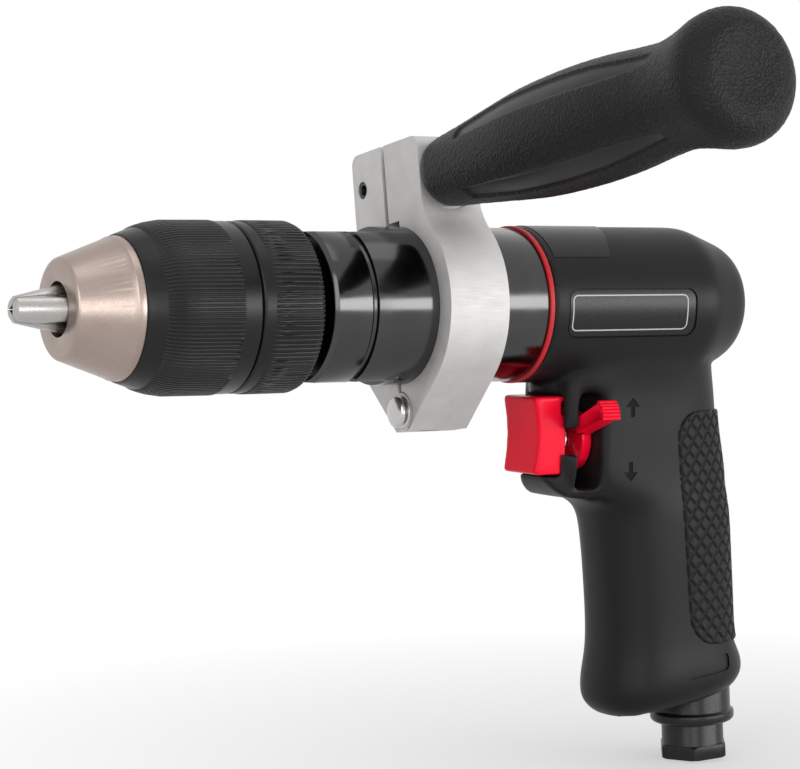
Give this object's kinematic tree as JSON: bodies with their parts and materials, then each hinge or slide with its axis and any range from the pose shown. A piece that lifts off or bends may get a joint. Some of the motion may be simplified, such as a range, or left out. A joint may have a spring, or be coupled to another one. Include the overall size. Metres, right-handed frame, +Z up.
{
  "type": "air drill",
  "caption": "Pistol-grip air drill with a keyless chuck, planetary drive, trigger, reverse lever and a clamp-on side handle that swivels on the barrel.",
  "frame": {"origin": "on the spindle axis, at the front face of the chuck nose", "axes": "+X out of the chuck along the spindle, +Y to the drill's left side, +Z up, away from the grip"},
  "size_m": [0.2158, 0.1601, 0.1941],
  "materials": {
    "chuck_nickel": "satin nickel",
    "sleeve_black": "satin black",
    "jaw_steel": "ground",
    "barrel_black": "polished black",
    "seal_red": "satin",
    "housing_plastic": "satin moulded",
    "grip_rubber": "diamond pattern",
    "trigger_red": "glossy",
    "inlet_black": "satin black",
    "clamp_aluminium": "brushed",
    "handle_plastic": "leather grain",
    "valve_brass": "turned",
    "sinter_bronze": "sintered",
    "vane_resin": "machined",
    "poppet_rubber": "smooth",
    "dark_steel": "black oxide",
    "bright_steel": "ground"
  },
  "bodies": {
    "housing": {"housing": "housing_plastic", "grip_pad": "grip_rubber", "front_cap": "barrel_black", "gear_case": "barrel_black", "spindle_bearing_front": "bright_steel", "spindle_bearing_rear": "bright_steel", "ring_gear": "bright_steel", "seal_ring": "seal_red", "motor_cylinder": "bright_steel", "front_end_plate": "bright_steel", "rear_end_plate": "bright_steel", "rotor_bearing_front": "bright_steel", "rotor_bearing_rear": "bright_steel", "valve_seat": "valve_brass", "exhaust_collar": "inlet_black", "silencer": "sinter_bronze", "inlet_bushing": "inlet_black", "inlet_screen": "bright_steel"},
    "spindle": {"chuck_body": "chuck_nickel", "rear_sleeve": "sleeve_black", "chuck_screw": "dark_steel", "thrust_balls": "bright_steel", "spindle": "dark_steel", "output_planet_pins": "dark_steel"},
    "chuck_sleeve": {"front_sleeve": "sleeve_black", "split_nut": "bright_steel", "thrust_washer": "bright_steel"},
    "jaw_1": {"jaw_1": "jaw_steel"},
    "jaw_2": {"jaw_2": "jaw_steel"},
    "jaw_3": {"jaw_3": "jaw_steel"},
    "output_planet_1": {"output_planet_1": "bright_steel"},
    "output_planet_2": {"output_planet_2": "bright_steel"},
    "output_planet_3": {"output_planet_3": "bright_steel"},
    "first_carrier": {"first_carrier": "dark_steel", "first_planet_pins": "dark_steel"},
    "first_planet_1": {"first_planet_1": "bright_steel"},
    "first_planet_2": {"first_planet_2": "bright_steel"},
    "first_planet_3": {"first_planet_3": "bright_steel"},
    "rotor": {"rotor": "dark_steel", "vanes": "vane_resin"},
    "trigger": {"trigger": "trigger_red", "valve_stem": "bright_steel", "poppet_seal": "poppet_rubber", "trigger_spring": "bright_steel"},
    "reverse_lever": {"reverse_lever": "trigger_red", "reverse_valve": "valve_brass"},
    "clamp": {"clamp_far": "clamp_aluminium", "hinge_pin": "bright_steel", "roll_pin": "dark_steel", "handle_stud": "bright_steel"},
    "clamp_near": {"clamp_near": "clamp_aluminium"},
    "handle_washer": {"handle_washer": "dark_steel"},
    "side_handle": {"side_handle": "handle_plastic", "handle_insert": "valve_brass"}
  },
  "joints": [
    {"name": "rotor_spin", "type": "hinge", "parent": "housing", "child": "rotor", "pos_m": [-0.14, 0, 0], "axis": [1, 0, 0], "continuous": true},
    {"name": "first_carrier_spin", "type": "hinge", "parent": "housing", "child": "first_carrier", "pos_m": [-0.099, 0, 0], "axis": [1, 0, 0], "continuous": true},
    {"name": "spindle_spin", "type": "hinge", "parent": "housing", "child": "spindle", "pos_m": [-0.07, 0, 0], "axis": [1, 0, 0], "continuous": true},
    {"name": "output_planet_1_spin", "type": "hinge", "parent": "spindle", "child": "output_planet_1", "pos_m": [-0.0925, 0.009, 0], "axis": [1, 0, 0], "continuous": true},
    {"name": "output_planet_2_spin", "type": "hinge", "parent": "spindle", "child": "output_planet_2", "pos_m": [-0.0925, -0.0045, 0.00779], "axis": [1, 0, 0], "continuous": true},
    {"name": "output_planet_3_spin", "type": "hinge", "parent": "spindle", "child": "output_planet_3", "pos_m": [-0.0925, -0.0045, -0.00779], "axis": [1, 0, 0], "continuous": true},
    {"name": "first_planet_1_spin", "type": "hinge", "parent": "first_carrier", "child": "first_planet_1", "pos_m": [-0.1049, 0.009, 0], "axis": [1, 0, 0], "continuous": true},
    {"name": "first_planet_2_spin", "type": "hinge", "parent": "first_carrier", "child": "first_planet_2", "pos_m": [-0.1049, -0.0045, 0.00779], "axis": [1, 0, 0], "continuous": true},
    {"name": "first_planet_3_spin", "type": "hinge", "parent": "first_carrier", "child": "first_planet_3", "pos_m": [-0.1049, -0.0045, -0.00779], "axis": [1, 0, 0], "continuous": true},
    {"name": "chuck_sleeve_turn", "type": "hinge", "parent": "spindle", "child": "chuck_sleeve", "pos_m": [-0.03, 0, 0], "axis": [1, 0, 0], "range_deg": [0, 2700]},
    {"name": "jaw_1_slide", "type": "slide", "parent": "spindle", "child": "jaw_1", "axis": [-0.9703, 0.2419, 0], "range_m": [0, 0.02377]},
    {"name": "jaw_2_slide", "type": "slide", "parent": "spindle", "child": "jaw_2", "axis": [-0.9703, -0.121, 0.2095], "range_m": [0, 0.02377]},
    {"name": "jaw_3_slide", "type": "slide", "parent": "spindle", "child": "jaw_3", "axis": [-0.9703, -0.121, -0.2095], "range_m": [0, 0.02377]},
    {"name": "trigger_pull", "type": "slide", "parent": "housing", "child": "trigger", "axis": [-1, 0, 0], "range_m": [0, 0.0045], "stiffness_N_per_m": 1500, "springref_m": -0.004, "deforming": ["trigger_spring"]},
    {"name": "reverse_lever_turn", "type": "hinge", "parent": "housing", "child": "reverse_lever", "pos_m": [-0.149, 0, -0.0364], "axis": [-1, 0, 0], "range_deg": [0, 42]},
    {"name": "clamp_swivel", "type": "hinge", "parent": "housing", "child": "clamp", "pos_m": [-0.10405, 0, 0], "axis": [1, 0, 0], "continuous": true},
    {"name": "clamp_near_open", "type": "hinge", "parent": "clamp", "child": "clamp_near", "pos_m": [-0.10405, 0.0016, -0.02756], "axis": [-1, 0, 0], "range_deg": [0, 1.72]},
    {"name": "handle_washer_slide", "type": "slide", "parent": "clamp", "child": "handle_washer", "axis": [0, 0.9895, 0.1444], "range_m": [0, 0.003]},
    {"name": "handle_turn", "type": "hinge", "parent": "handle_washer", "child": "side_handle", "pos_m": [-0.10405, 0.01134, 0.0345], "axis": [0, -0.9895, -0.1444], "range_deg": [0, 720]}
  ],
  "couplings": [
    {"joint": "first_carrier_spin", "follows": "rotor_spin", "ratio": 0.2},
    {"joint": "spindle_spin", "follows": "rotor_spin", "ratio": 0.04},
    {"joint": "output_planet_1_spin", "follows": "rotor_spin", "ratio": -0.10667},
    {"joint": "first_planet_1_spin", "follows": "rotor_spin", "ratio": -0.53333},
    {"joint": "output_planet_2_spin", "follows": "rotor_spin", "ratio": -0.10667},
    {"joint": "first_planet_2_spin", "follows": "rotor_spin", "ratio": -0.53333},
    {"joint": "output_planet_3_spin", "follows": "rotor_spin", "ratio": -0.10667},
    {"joint": "first_planet_3_spin", "follows": "rotor_spin", "ratio": -0.53333},
    {"joint": "jaw_1_slide", "follows": "chuck_sleeve_turn", "m_per_rad": 0.00050437},
    {"joint": "jaw_2_slide", "follows": "chuck_sleeve_turn", "m_per_rad": 0.00050437},
    {"joint": "jaw_3_slide", "follows": "chuck_sleeve_turn", "m_per_rad": 0.00050437},
    {"joint": "handle_washer_slide", "follows": "handle_turn", "m_per_rad": 0.00023873},
    {"joint": "clamp_near_open", "follows": "handle_turn", "ratio": 0.0023873}
  ]
}
